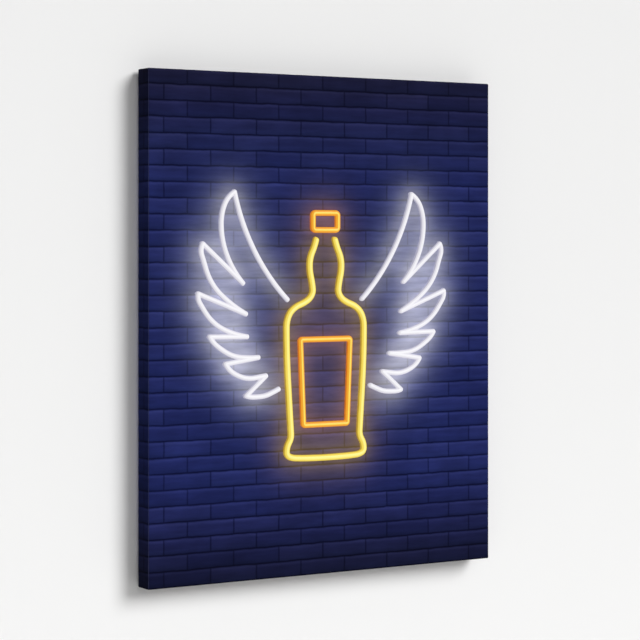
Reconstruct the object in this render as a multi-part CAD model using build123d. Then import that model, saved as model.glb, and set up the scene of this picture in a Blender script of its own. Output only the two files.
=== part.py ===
from build123d import *
import math
import os

# Illuminated sign: a printed canvas wrapped round a stretcher frame, with light tubes on its face
# that draw a winged bottle, and a small low-voltage control box behind.
# +X is right as the sign is looked at, +Z is up, and the face looks along -Y. The wall is y = 0.
# Everything is built with z = 0 at the lower edge of the canvas; save() then lowers it so that
# the origin lies on the wall, midway between the two hooks that carry the sign.

# Overall sizes (mm)
panel_width = 610.0
panel_height = 762.0
wrap_depth = 34.0  # front of the canvas to the back of its fold
bumper_height = 6.0  # gap between the fold and the wall
hook_height = 654.0  # where the hooks meet the rings, above the lower edge

# Canvas, board and frame
canvas_thick = 0.8
fold_width = 25.0
board_thick = 3.0
bar_width = 45.0
brace_width = 40.0
brace_depth = 18.0
brace_play = 0.25  # between the clips and the brace that crosses over them
tenon_length = 10.0
tenon_width = 24.0
tenon_thick = 8.0
wood_gap = 0.1  # clearance of tenons and keys in their slots
key_leg = 26.0
key_depth = 6.0  # how far a key reaches into each bar
key_thick = 4.0

# Light tubes
yellow_radius = 5.0
orange_radius = 4.5
white_radius = 4.0
tube_flat = 0.8  # depth planed off the back of a tube, where it is glued down
channel_width = 4.2
channel_depth = 1.6
strip_width = 4.0
strip_thick = 1.4
picture_shift = -5.0  # the picture sits this far right of the middle of the panel
corner_stop = 9.0  # a strip ends this far from an open corner
notch_stop = 32.0  # and this far from a narrow one
strip_gap = 0.4  # between a strip and the plane where two tubes meet

# Leads and what they pass through
lead_diameter = 3.0
lead_plane = 6.5  # centre of a lead behind the back of the board
lead_bend = 5.0
lead_gap = 0.3  # between a lead and the bore it passes through, across
grommet_wall = 0.85
grommet_flange = 10.0
grommet_lip = 1.2
clip_length = 8.0
clip_width = 12.0
clip_wall = 1.6
clip_foot = 1.5

# Control box
box_left = 96.0
box_bottom = 62.0
box_width = 110.0
box_height = 70.0
box_depth = 21.2
box_wall = 2.0
lid_thick = 2.0
tape_thick = 1.0
post_radius = 3.4
circuit_post_radius = 2.5
lead_pitch = 12.0
gland_length = 66.0
gland_width = 7.0
gland_height = 4.0
circuit_length = 90.0
circuit_width = 44.0
circuit_thick = 1.6
circuit_lift = 3.2
switch_width = 19.0
switch_height = 13.0
switch_depth = 11.0
bezel_rim = 1.5
bezel_thick = 2.0
rocker_tilt = 8.0  # degrees either side of level
knob_radius = 7.0
knob_height = 7.0
shaft_radius = 3.0
bush_radius = 3.5
jack_radius = 4.0
jack_flange = 5.5
jack_bore = 2.85
jack_pin = 1.05

# Hangers
hanger_inset = 35.0  # from the edge of the canvas to the middle of a strap
strap_width = 16.0
strap_length = 38.0
strap_thick = 1.2
ring_wire = 1.25
ring_width = 20.0
ring_play = 0.08
ring_reach = 16.0  # hinge of a ring to where the hook bears
bumper_radius = 8.0
bumper_inset = 12.5

# Fasteners
staple_crown = 10.0
staple_wire = 0.7
staple_band = 1.2
staple_leg = 7.0
# screws: shank radius, length, head radius, head height
hanger_screw = (1.5, 14.0, 2.8, 1.4)
lid_screw = (1.25, 11.0, 2.3, 1.2)
circuit_screw = (1.0, 4.5, 1.9, 1.0)
screw_gap = 0.05  # round a shank in its hole
screw_slot = 0.5  # depth of the slot across a head
strap_hole = 1.6  # radius

# Planes worked out from the sizes above
fold_back = -bumper_height
face = fold_back - wrap_depth
bars_back = fold_back - canvas_thick
board_front = face + canvas_thick
board_back = board_front + board_thick
bars_front = board_back
half_width = panel_width / 2
feed_bore = lead_diameter + lead_gap
feed_hole = feed_bore + 2 * grommet_wall
brace_gap = lead_plane + feed_bore / 2 + clip_wall + brace_play  # board to brace
inner_half = half_width - canvas_thick
inner_low = canvas_thick
inner_high = panel_height - canvas_thick
lead_y = board_back + lead_plane
ring_axis = hook_height - ring_reach
barrel_radius = ring_wire + ring_play + strap_thick
ring_y = bars_back + barrel_radius

# The picture, as distances right of its own middle line and above the lower edge of the canvas.
# A stroke is a list of (x, height, heading in degrees); two tangent arcs join each pair of points.
# A heading of None makes the stroke straight.
bottle_half = [
    (17, 511, -75),
    (28.3, 474, -88),
    (23, 437, -97),
    (33, 418.6, -32),
    (57, 406.3, -38),
    (69.2, 378, -90),
    (61.4, 218, -94),
    (69, 190, -90),
    (54, 180.2, -176),
    (0, 178.6, 180),
]
wing_strokes = [
    [(67, 420.5, 44), (158.5, 582.5, 77)],
    [(158.5, 582.5, -30), (181, 537, -89), (144, 446, -133)],
    [(144, 446, None), (212, 505, None)],
    [(212, 505, -60), (207.5, 470, -107), (139, 400, -152)],
    [(139, 400, None), (219.5, 431, None)],
    [(219.5, 431, -78), (208.5, 404.5, -124), (137, 366, -172)],
    [(137, 366, None), (200, 367, None)],
    [(200, 367, -118), (174, 344, -150), (117.5, 334.5, 178)],
    [(117.5, 334.5, None), (173.5, 326, None)],
    [(173.5, 326, -118), (144, 305.2, -165), (104.5, 306.5, 172)],
    [(104.5, 306.5, None), (138.5, 277.5, None)],
    [(138.5, 277.5, -160), (114, 275.6, 177), (82.5, 285.7, 156)],
]
cap_corners = [(22, 526.2), (22, 552.2), (-22, 552.2), (-22, 526.2)]
label_corners = [(39, 229.4), (44.4, 359.4), (-44.4, 359.4), (-39, 229.4)]
wing_feed = (94.0, 280.3)
bottle_feed = (0.0, 178.6)
cap_feed = (0.0, 526.2)
label_feed = (0.0, 229.4)


def block(x0, x1, y0, y1, z0, z1):
    middle = ((x0 + x1) / 2, (y0 + y1) / 2, (z0 + z1) / 2)
    return Pos(*middle) * Box(abs(x1 - x0), abs(y1 - y0), abs(z1 - z0))


def rod(radius, start, end):
    start = Vector(*start)
    end = Vector(*end)
    span = end - start
    return Plane(origin=start, z_dir=span) * Cylinder(
        radius, span.length, align=(Align.CENTER, Align.CENTER, Align.MIN)
    )


def save(name, shape):
    pieces = shape.solids()
    whole = Compound(children=pieces) if len(pieces) > 1 else pieces[0]
    export_step(Pos(0, 0, -hook_height) * whole, f"parts/{name}.step")


# ---- strokes of light tube ----


def direction(heading):
    angle = math.radians(heading)
    return Vector(math.cos(angle), 0, math.sin(angle))


def face_point(x, height):
    return Vector(x + picture_shift, face, height)


def two_arcs(start, end):
    """Edges from start to end, each an (x, height, heading), as two arcs that meet smoothly."""
    first = face_point(start[0], start[1])
    last = face_point(end[0], end[1])
    if start[2] is None:
        return [Line(first, last)]
    leave = direction(start[2])
    arrive = direction(end[2])
    span = last - first
    along = span.dot(leave + arrive)
    bend = 2 * (1 - leave.dot(arrive))
    if bend < 1e-9:
        reach = span.dot(span) / (2 * along)
    else:
        reach = (-along + math.sqrt(along**2 + bend * span.dot(span))) / bend
    corner_a = first + leave * reach
    corner_b = last - arrive * reach
    middle = (corner_a + corner_b) / 2
    return [
        TangentArc(first, middle, tangent=leave),
        TangentArc(middle, last, tangent=corner_b - corner_a),
    ]


def route(points):
    edges = []
    for start, end in zip(points, points[1:]):
        edges += two_arcs(start, end)
    return Wire(edges)


def mirrored(points):
    """The same stroke on the other side of the picture's middle line, run the other way."""
    back = []
    for x, height, heading in reversed(points):
        back.append((-x, height, None if heading is None else -heading))
    return back


def tube_section(radius):
    """Round tube, flat at its back, with the channel that holds its strip; y is out of the panel."""
    outline = Pos(0, radius - tube_flat) * Circle(radius)
    outline -= Pos(0, -radius) * Rectangle(4 * radius, 2 * radius)
    return outline - Rectangle(channel_width, 2 * channel_depth)


def strip_section():
    return Pos(0, strip_thick / 2) * Rectangle(strip_width, strip_thick)


def across(point, heading):
    """Plane square to a stroke, with its y out of the panel."""
    return Plane(origin=point, x_dir=Vector(0, -1, 0).cross(heading), z_dir=heading)


def swept(section, path):
    start = across(path @ 0, path % 0)
    return sweep(start * section, path=path)


def round_end(radius, point, outward):
    half = tube_section(radius) & (Pos(radius, 0) * Rectangle(2 * radius, 6 * radius))
    return revolve(across(point, outward) * half, Axis(point, (0, 1, 0)), 180)


def parting(before, after, radius):
    """Where two strokes that meet at a corner have drawn a tube's width apart."""
    for step in range(1, 140):
        gone = step * 0.5
        left = before.position_at(before.length - gone, position_mode=PositionMode.LENGTH)
        right = after.position_at(gone, position_mode=PositionMode.LENGTH)
        if (left - right).length >= 2 * radius:
            break
    return (left + right) / 2


def beyond(corner, apart, keep, radius, gap):
    """Block on the far side of the plane in which two strokes meet, for cutting one of them."""
    run = (apart - corner).normalized()
    side = run.cross(Vector(0, 1, 0))
    if side.dot(keep - corner) > 0:
        side = -side
    plane = Plane(origin=corner - side * gap, x_dir=run, z_dir=side)
    length = (apart - corner).length + 2.5 * radius
    cutter = Box(length, 60, 4 * radius, align=(Align.MIN, Align.CENTER, Align.MIN))
    return plane * Pos(-1.5 * radius, 0, 0) * cutter


def tube_and_strip(paths, radius, closed):
    """Tube and strip of each stroke, parted at the corners so that neighbours meet face to face."""
    tubes = []
    strips = []
    count = len(paths)
    for number, path in enumerate(paths):
        tube = swept(tube_section(radius), path)
        strip = swept(strip_section(), path)
        for end in (0, 1):
            other = number + (1 if end else -1)
            if not closed and not 0 <= other < count:
                continue
            point = path @ end
            outward = path % 1 if end else -(path % 0)
            neighbour = paths[other % count]
            if end:
                apart = parting(path, neighbour, radius)
            else:
                apart = parting(neighbour, path, radius)
            step = min(path.length / 2, (apart - point).length)
            place = path.length - step if end else step
            keep = path.position_at(place, position_mode=PositionMode.LENGTH)
            narrow = (apart - point).length > 3 * radius
            stop = notch_stop if narrow else corner_stop
            tube += round_end(radius, point, outward)
            tube -= beyond(point, apart, keep, radius, 0)
            strip -= beyond(point, apart, keep, radius, strip_gap)
            strip -= rod(stop, (point.X, face - 20, point.Z), (point.X, face + 20, point.Z))
        tubes.append(tube)
        strips.append(strip)
    return tubes, strips


def together(shapes):
    pieces = []
    for shape in shapes:
        pieces += shape.solids()
    return Compound(children=pieces)


# ---- canvas, board and stretcher frame ----


def feed_points():
    points = []
    for x, height in (cap_feed, label_feed, bottle_feed, wing_feed):
        points.append((x + picture_shift, height))
    points.append((picture_shift - wing_feed[0], wing_feed[1]))
    return points


def feed_holes(diameter, y0, y1):
    return [rod(diameter / 2, (x, y0, z), (x, y1, z)) for x, z in feed_points()]


def canvas_wrap():
    shell = block(-half_width, half_width, face, fold_back, 0, panel_height)
    shell -= block(-inner_half, inner_half, board_front, bars_back, inner_low, inner_high)
    opening = half_width - fold_width
    shell -= block(-opening, opening, bars_back - 1, 1, fold_width, panel_height - fold_width)
    return shell - feed_holes(feed_hole, face - 1, board_front + 1)


def backer_board():
    board = block(-inner_half, inner_half, board_front, board_back, inner_low, inner_high)
    return board - feed_holes(feed_hole, board_front - 1, board_back + 1)


def corner_key(x_side, z_side, level, gap):
    """Wedge in an inside corner of the frame, at one of two levels."""
    corner_x = x_side * (half_width - bar_width)
    corner_z = bar_width if z_side < 0 else panel_height - bar_width
    back = -key_depth - gap
    leg = key_leg - key_depth
    outline = [(back, back), (leg + gap, back), (back, leg + gap)]
    points = [(corner_x - x_side * a, corner_z - z_side * b) for a, b in outline]
    if x_side * z_side < 0:
        points.reverse()
    wire = Polyline(*[Vector(x, level, z) for x, z in points], close=True)
    wedge = extrude(Face(Wire(wire.edges())), key_thick / 2 + gap, dir=(0, 1, 0), both=True)
    return wedge


def key_levels():
    middle = (bars_front + bars_back) / 2
    return (middle - 7, middle + 7)


def corner_keys(gap=0.0):
    keys = []
    for x_side in (-1, 1):
        for z_side in (-1, 1):
            for level in key_levels():
                keys.append(corner_key(x_side, z_side, level, gap))
    return keys


def mitred_bar(outer, inner):
    """Bar between an outer and an inner edge, each ((x0, z0), (x1, z1)), mitred at both ends."""
    points = [outer[0], outer[1], inner[1], inner[0]]
    wire = Polyline(*[Vector(x, bars_front, z) for x, z in points], close=True)
    return extrude(Face(Wire(wire.edges())), bars_back - bars_front, dir=(0, 1, 0))


def tenon(x_side, gap):
    reach = tenon_length + gap
    root = x_side * (half_width - bar_width)
    centre_y = board_back + brace_gap + brace_depth / 2
    half = tenon_width / 2 + gap
    thick = tenon_thick / 2 + gap
    middle = panel_height / 2
    near = root - x_side * 0.5
    tip = root + x_side * reach
    return block(near, tip, centre_y - thick, centre_y + thick, middle - half, middle + half)


def frame_bars():
    low, high, side = inner_low, inner_high, inner_half
    deep = half_width - bar_width
    under = bar_width
    over = panel_height - bar_width
    bars = {
        "bottom_bar": mitred_bar(((-side, low), (side, low)), ((-deep, under), (deep, under))),
        "top_bar": mitred_bar(((-side, high), (side, high)), ((-deep, over), (deep, over))),
        "left_bar": mitred_bar(((-side, low), (-side, high)), ((-deep, under), (-deep, over))),
        "right_bar": mitred_bar(((side, low), (side, high)), ((deep, under), (deep, over))),
    }
    slots = corner_keys(wood_gap)
    pilots = screw_holes()
    for name in bars:
        bars[name] -= slots
        bars[name] -= [tenon(-1, wood_gap), tenon(1, wood_gap)]
        bars[name] -= pilots
    return bars


def cross_brace():
    deep = half_width - bar_width
    front = board_back + brace_gap
    middle = panel_height / 2
    half = brace_width / 2
    brace = block(-deep, deep, front, front + brace_depth, middle - half, middle + half)
    return brace + tenon(-1, 0) + tenon(1, 0)


def staple(x, z, along_x):
    """Crown on the canvas and two legs in the wood."""
    half = staple_crown / 2
    band = staple_band / 2
    top = fold_back + staple_wire
    tip = fold_back - staple_leg
    if along_x:
        crown = block(x - half, x + half, fold_back, top, z - band, z + band)
        legs = [
            block(x - half, x - half + staple_wire, tip, fold_back, z - band, z + band),
            block(x + half - staple_wire, x + half, tip, fold_back, z - band, z + band),
        ]
    else:
        crown = block(x - band, x + band, fold_back, top, z - half, z + half)
        legs = [
            block(x - band, x + band, tip, fold_back, z - half, z - half + staple_wire),
            block(x - band, x + band, tip, fold_back, z + half - staple_wire, z + half),
        ]
    return crown + legs


def canvas_staples():
    inset = fold_width / 2
    clear = 2 * fold_width
    staples = []
    across_count = 11
    up_count = 13
    for number in range(across_count):
        x = -half_width + clear + number * (panel_width - 2 * clear) / (across_count - 1)
        staples.append(staple(x, inset, True))
        staples.append(staple(x, panel_height - inset, True))
    for number in range(up_count):
        z = clear + number * (panel_height - 2 * clear) / (up_count - 1)
        staples.append(staple(-half_width + inset, z, False))
        staples.append(staple(half_width - inset, z, False))
    return staples


# ---- hangers and bumpers ----


def hanger_places():
    return (-half_width + hanger_inset, half_width - hanger_inset)


def strap_screw_heights():
    return (ring_axis - 16, ring_axis - 30)


def hanger_strap(x):
    """Plate with a rolled barrel at its top, in which the straight side of a ring turns."""
    half = strap_width / 2
    plate = block(
        x - half, x + half, bars_back, bars_back + strap_thick, ring_axis - strap_length, ring_axis
    )
    knuckle = strap_width / 2 - 2
    barrel = rod(barrel_radius, (x - knuckle, ring_y, ring_axis), (x + knuckle, ring_y, ring_axis))
    bore = rod(ring_wire + ring_play, (x - 40, ring_y, ring_axis), (x + 40, ring_y, ring_axis))
    relief = barrel_radius + 0.3
    sides = [
        block(x - half - 1, x - knuckle, bars_back - 1, 0, ring_axis - relief, ring_axis + relief),
        block(x + knuckle, x + half + 1, bars_back - 1, 0, ring_axis - relief, ring_axis + relief),
    ]
    strap = plate - sides + barrel - bore
    for z in strap_screw_heights():
        strap -= rod(strap_hole, (x, bars_back - 1, z), (x, 0, z))
    return strap


def hanger_ring(x):
    """D-shaped ring: a straight side in the barrel, small lower corners and a round top."""
    half = ring_width / 2 - ring_wire
    top = ring_reach + ring_wire
    foot = 3.0
    crown = half
    low = Vector(x, ring_y, ring_axis)
    path = Wire(
        [
            Line(low + (-half + foot, 0, 0), low + (half - foot, 0, 0)),
            TangentArc(
                low + (half - foot, 0, 0), low + (half, 0, foot), tangent=(1, 0, 0)
            ),
            Line(low + (half, 0, foot), low + (half, 0, top - crown)),
            ThreePointArc(
                low + (half, 0, top - crown), low + (0, 0, top), low + (-half, 0, top - crown)
            ),
            Line(low + (-half, 0, top - crown), low + (-half, 0, foot)),
            TangentArc(
                low + (-half, 0, foot), low + (-half + foot, 0, 0), tangent=(0, 0, -1)
            ),
        ]
    )
    start = Plane(origin=path @ 0, z_dir=path % 0)
    return sweep(start * Circle(ring_wire), path=path)


def pan_screw(x, z, seat_y, radius, length, head_radius, head_height):
    """Screw driven in along -Y, its head bearing on a face at seat_y; slot across the head."""
    head = rod(head_radius, (x, seat_y, z), (x, seat_y + head_height, z))
    shank = rod(radius, (x, seat_y - length, z), (x, seat_y, z))
    slot_y = seat_y + head_height
    slot = block(x - head_radius, x + head_radius, slot_y - screw_slot, slot_y + 1, z - 0.3, z + 0.3)
    return head + shank - slot


def hanger_screws():
    screws = []
    for x in hanger_places():
        for z in strap_screw_heights():
            screws.append(pan_screw(x, z, bars_back + strap_thick, *hanger_screw))
    return screws


def screw_holes():
    holes = []
    radius = hanger_screw[0] + screw_gap
    deep = hanger_screw[1] - strap_thick + 0.4
    for x in hanger_places():
        for z in strap_screw_heights():
            holes.append(rod(radius, (x, bars_back - deep, z), (x, bars_back + 1, z)))
    return holes


def bumper(x, z):
    """Rubber foot with a rounded rim, stuck on the fold."""
    foot = rod(bumper_radius, (x, fold_back, z), (x, 0, z))
    rim = foot.edges().filter_by(GeomType.CIRCLE).sort_by(Axis.Y)[-1]
    return fillet(rim, 1.2)


def wall_bumpers():
    feet = []
    for x in (-half_width + bumper_inset, half_width - bumper_inset):
        for z in (bumper_inset, panel_height - bumper_inset):
            feet.append(bumper(x, z))
    return feet


# ---- leads, grommets and clips ----


def rounded_path(points, radii):
    """Straight runs through the points, joined by arcs that touch both runs."""
    corners = [Vector(*p) for p in points]
    edges = []
    last = corners[0]
    for number, radius in enumerate(radii, start=1):
        here = corners[number]
        into = (here - corners[number - 1]).normalized()
        out = (corners[number + 1] - here).normalized()
        half_turn = math.radians(into.get_angle(out)) / 2
        back = radius * math.tan(half_turn)
        start = here - into * back
        end = here + out * back
        edges.append(Line(last, start))
        edges.append(TangentArc(start, end, tangent=into))
        last = end
    edges.append(Line(last, corners[-1]))
    return Wire(edges)


def lead_entries():
    """Where the five leads go into the control box, from left to right."""
    middle = box_left + box_width / 2
    return [middle + (number - 2) * lead_pitch for number in range(5)]


def lead_routes():
    """Each lead's name and the points it runs through behind the board, as (x, height)."""
    entry = lead_entries()
    cap, label, bottle, right, left = feed_points()
    return {
        "left_wing_lead": [left, (-84, 222), (-52, 168), (24, 147), (92, 166), (entry[0], 152)],
        "bottle_lead": [bottle, (22, 186), (74, 196), (118, 188), (entry[1], 164)],
        "label_lead": [label, (30, 236), (88, 232), (134, 208), (entry[2], 172)],
        "cap_lead": [cap, (16, 486), (22, 420), (30, 340), (66, 268), (132, 240), (entry[3], 190)],
        "right_wing_lead": [right, (118, 284), (150, 262), (entry[4], 214)],
    }


def lead(points):
    """Out of its grommet, along behind the board and down into the terminal block."""
    x0, z0 = points[0]
    inside = box_bottom + box_height - 12
    path_points = [(x0, face, z0), (x0, lead_y, z0)]
    path_points += [(x, lead_y, z) for x, z in points[1:]]
    path_points.append((points[-1][0], lead_y, inside))
    radii = [lead_bend]
    for number in range(2, len(path_points) - 1):
        here = Vector(*path_points[number])
        before = here - Vector(*path_points[number - 1])
        after = Vector(*path_points[number + 1]) - here
        half_turn = math.radians(before.get_angle(after)) / 2
        shorter = min(before.length, after.length)
        radii.append(min(0.42 * shorter / math.tan(half_turn), 60.0))
    path = rounded_path(path_points, radii)
    start = Plane(origin=path @ 0, z_dir=path % 0)
    return sweep(start * Circle(lead_diameter / 2), path=path)


def lead_clip(start, end):
    """Saddle clip on the board, astride the middle of one straight run."""
    along = Vector(end[0] - start[0], 0, end[1] - start[1])
    middle = Vector((start[0] + end[0]) / 2, lead_y, (start[1] + end[1]) / 2)
    plane = Plane(origin=middle, x_dir=along, z_dir=(0, 1, 0))
    bore = feed_bore / 2
    back = lead_plane
    width = 2 * (bore + clip_wall)
    saddle = Box(clip_length, width, back, align=(Align.CENTER, Align.CENTER, Align.MAX))
    saddle += Rot(0, 90, 0) * Cylinder(bore + clip_wall, clip_length)
    foot = Box(clip_length, clip_width, clip_foot, align=(Align.CENTER, Align.CENTER, Align.MIN))
    saddle += Pos(0, 0, -back) * foot
    saddle -= Rot(0, 90, 0) * Cylinder(bore, 2 * clip_length)
    return plane * saddle


def lead_clips():
    clips = []
    chosen = {
        "left_wing_lead": (0, 2, 3),
        "bottle_lead": (1,),
        "label_lead": (1,),
        "cap_lead": (1, 2, 3, 4),
        "right_wing_lead": (1,),
    }
    routes = lead_routes()
    for name, runs in chosen.items():
        for run in runs:
            clips.append(lead_clip(routes[name][run], routes[name][run + 1]))
    return clips


def feed_grommets():
    grommets = []
    for x, z in feed_points():
        body = rod(feed_hole / 2, (x, face, z), (x, board_back, z))
        lip = rod(grommet_flange / 2, (x, board_back, z), (x, board_back + grommet_lip, z))
        bore = rod(feed_bore / 2, (x, face - 1, z), (x, board_back + 5, z))
        grommets.append(body + lip - bore)
    return grommets


# ---- control box ----

box_right = box_left + box_width
box_top = box_bottom + box_height
box_front = board_back + tape_thick
box_rim = box_front + box_depth
lid_back = box_rim + lid_thick
switch_x = box_left + 32
dimmer_x = box_left + 76
control_z = box_bottom + 35
jack_z = box_bottom + 16
jack_y = box_front + 11.6
circuit_front = box_front + box_wall + circuit_lift
circuit_back = circuit_front + circuit_thick
circuit_left = box_left + 8
circuit_bottom = box_bottom + 5


def box_posts():
    inset = post_radius + 0.6
    places = []
    for x in (box_left + inset, box_right - inset):
        for z in (box_bottom + inset, box_top - inset):
            places.append((x, z))
    return places


def circuit_posts():
    places = []
    for x in (circuit_left + 14, circuit_left + circuit_length - 6):
        for z in (circuit_bottom + 5, circuit_bottom + circuit_width - 5):
            places.append((x, z))
    return places


def rounded_block(y0, y1):
    body = block(box_left, box_right, y0, y1, box_bottom, box_top)
    return fillet(body.edges().filter_by(Axis.Y), 4)


def control_base():
    base = rounded_block(box_front, box_rim)
    w = box_wall
    base -= block(
        box_left + w, box_right - w, box_front + w, box_rim + 1, box_bottom + w, box_top - w
    )
    for x, z in box_posts():
        base += rod(post_radius, (x, box_front + 1, z), (x, box_rim, z))
    for x, z in circuit_posts():
        base += rod(circuit_post_radius, (x, box_front + 1, z), (x, circuit_front, z))
    for x, z in box_posts():
        base -= rod(lid_screw[0] + screw_gap, (x, box_rim - lid_screw[1], z), (x, box_rim + 1, z))
    pilot = circuit_screw[0] + screw_gap
    for x, z in circuit_posts():
        base -= rod(pilot, (x, box_front + 1.5, z), (x, circuit_front + 1, z))
    middle = box_left + box_width / 2
    half = gland_length / 2
    base -= block(
        middle - half, middle + half,
        lead_y - gland_width / 2, lead_y + gland_width / 2,
        box_top - w - 1, box_top + 1,
    )
    base -= rod(jack_radius + 0.1, (box_left - 1, jack_y, jack_z), (box_left + w + 1, jack_y, jack_z))
    return base


def control_lid():
    lid = rounded_block(box_rim, lid_back)
    for x, z in box_posts():
        lid -= rod(1.4, (x, box_rim - 1, z), (x, lid_back + 1, z))
    wide = switch_width / 2 + 0.1
    tall = switch_height / 2 + 0.1
    low, high = box_rim - 1, lid_back + 1
    low_z, high_z = control_z - tall, control_z + tall
    lid -= block(switch_x - wide, switch_x + wide, low, high, low_z, high_z)
    lid -= rod(bush_radius + 0.1, (dimmer_x, low, control_z), (dimmer_x, high, control_z))
    return lid


def lid_screws():
    return [pan_screw(x, z, lid_back, *lid_screw) for x, z in box_posts()]


def circuit_screws():
    return [pan_screw(x, z, circuit_back, *circuit_screw) for x, z in circuit_posts()]


def circuit_board():
    right = circuit_left + circuit_length
    top = circuit_bottom + circuit_width
    board = block(circuit_left, right, circuit_front, circuit_back, circuit_bottom, top)
    for x, z in circuit_posts():
        board -= rod(1.2, (x, circuit_front - 1, z), (x, circuit_back + 1, z))
    return board


def circuit_parts():
    """Coil, two capacitors, power transistor and driver chip, standing on the circuit board."""
    left = circuit_left
    low = circuit_bottom
    back = circuit_back
    coil = rod(5, (left + 34, back, low + 10), (left + 34, back + 6, low + 10))
    coil -= rod(2, (left + 34, back + 1, low + 10), (left + 34, back + 7, low + 10))
    tall_capacitor = rod(4, (left + 48, back, low + 9), (left + 48, back + 11, low + 9))
    small_capacitor = rod(3.2, (left + 60, back, low + 8), (left + 60, back + 9, low + 8))
    transistor = block(left + 70, left + 80, back, back + 4.4, low + 4, low + 13)
    chip = block(left + 44, left + 54, back, back + 1.8, low + 26, low + 33)
    return [coil, tall_capacitor, small_capacitor, transistor, chip]


def terminal_block():
    """Five-way block on the floor of the box, above the circuit board."""
    entry = lead_entries()
    front = box_front + box_wall
    high = box_top - 8
    body = block(entry[0] - 7, entry[4] + 7, front, front + 10, high - 10, high)
    for x in entry:
        body -= rod(lead_diameter / 2 + 0.1, (x, lead_y, high - 4), (x, lead_y, high + 1))
        body -= rod(1.5, (x, front + 8.5, high - 5), (x, front + 11, high - 5))
    return body


def lead_gland():
    middle = box_left + box_width / 2
    half = gland_length / 2
    low = box_top - box_wall - 1
    gland = block(
        middle - half, middle + half,
        lead_y - gland_width / 2, lead_y + gland_width / 2,
        low, low + gland_height,
    )
    for x in lead_entries():
        gland -= rod(lead_diameter / 2, (x, lead_y, low - 1), (x, lead_y, low + gland_height + 1))
    return gland


def box_tape():
    half = 8.0
    pads = []
    for z in (box_bottom + 14, box_top - 14):
        pads.append(block(box_left + 10, box_right - 10, board_back, box_front, z - half, z + half))
    return pads


def dc_inlet():
    """Panel socket: flange outside the wall, threaded barrel through it, blind bore and contact pin."""
    outer = box_left - 1.8
    inner = box_left + 10
    body = rod(jack_flange, (outer, jack_y, jack_z), (box_left, jack_y, jack_z))
    body += rod(jack_radius, (box_left, jack_y, jack_z), (inner, jack_y, jack_z))
    body -= rod(jack_bore, (outer - 1, jack_y, jack_z), (outer + 9.5, jack_y, jack_z))
    return body


def inlet_pin():
    outer = box_left - 1.8
    return rod(jack_pin, (outer + 1.5, jack_y, jack_z), (outer + 9.5, jack_y, jack_z))


def inlet_nut():
    start = box_left + box_wall
    plane = Plane(origin=(start, jack_y, jack_z), x_dir=(0, 1, 0), z_dir=(1, 0, 0))
    nut = extrude(plane * RegularPolygon(5.4, 6), 2.2)
    return nut - rod(jack_radius + 0.05, (start - 1, jack_y, jack_z), (start + 4, jack_y, jack_z))


def switch_body():
    """Snap-in rocker switch housing: bezel on the lid, hollow body behind it."""
    wide = switch_width / 2
    tall = switch_height / 2
    rim = bezel_rim
    bezel = block(
        switch_x - wide - rim, switch_x + wide + rim,
        lid_back, lid_back + bezel_thick,
        control_z - tall - rim, control_z + tall + rim,
    )
    bezel = fillet(bezel.edges().filter_by(Axis.Y), 1.5)
    body = block(
        switch_x - wide, switch_x + wide,
        lid_back - switch_depth, lid_back,
        control_z - tall, control_z + tall,
    )
    well = block(
        switch_x - wide + 1.5, switch_x + wide - 1.5,
        lid_back - 5.5, lid_back + bezel_thick + 1,
        control_z - tall + 1.5, control_z + tall - 1.5,
    )
    blades = []
    for step in (-6, 0, 6):
        x = switch_x + step
        low = lid_back - switch_depth
        blades.append(block(x - 0.4, x + 0.4, low - 2.2, low, control_z - 2.4, control_z + 2.4))
    return bezel + body + blades - well


def switch_rocker():
    """Paddle that pivots about a line up the middle of the switch, shown pressed at its right."""
    wide = switch_width / 2 - 1.5 - 0.45
    tall = switch_height / 2 - 1.5 - 0.3
    pivot = Vector(switch_x, lid_back - 1.2, control_z)
    outline = Polyline(
        Vector(-wide, 0, 0), Vector(-wide + 0.6, -2.2, 0), Vector(0, -3.4, 0),
        Vector(wide - 0.6, -2.2, 0), Vector(wide, 0, 0),
        Vector(wide - 0.2, 4.6, 0), Vector(0, 3.4, 0), Vector(-wide + 0.2, 4.6, 0),
        close=True,
    )
    paddle = extrude(Face(Wire(outline.edges())), tall, dir=(0, 0, 1), both=True)
    return Pos(pivot) * Rot(0, 0, -rocker_tilt) * paddle


def dimmer_body():
    """Rotary control: can inside the lid and a threaded bush through it, bored for the shaft."""
    can = rod(8, (dimmer_x, box_rim - 8, control_z), (dimmer_x, box_rim, control_z))
    bush = rod(bush_radius, (dimmer_x, box_rim, control_z), (dimmer_x, lid_back + 3.2, control_z))
    bore = rod(
        shaft_radius + 0.06, (dimmer_x, box_rim - 4, control_z), (dimmer_x, lid_back + 5, control_z)
    )
    return can + bush - bore


def dimmer_nut():
    plane = Plane(origin=(dimmer_x, lid_back, control_z), x_dir=(1, 0, 0), z_dir=(0, 1, 0))
    nut = extrude(plane * RegularPolygon(5.2, 6), 1.8)
    return nut - rod(
        bush_radius + 0.05, (dimmer_x, lid_back - 1, control_z), (dimmer_x, lid_back + 4, control_z)
    )


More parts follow.
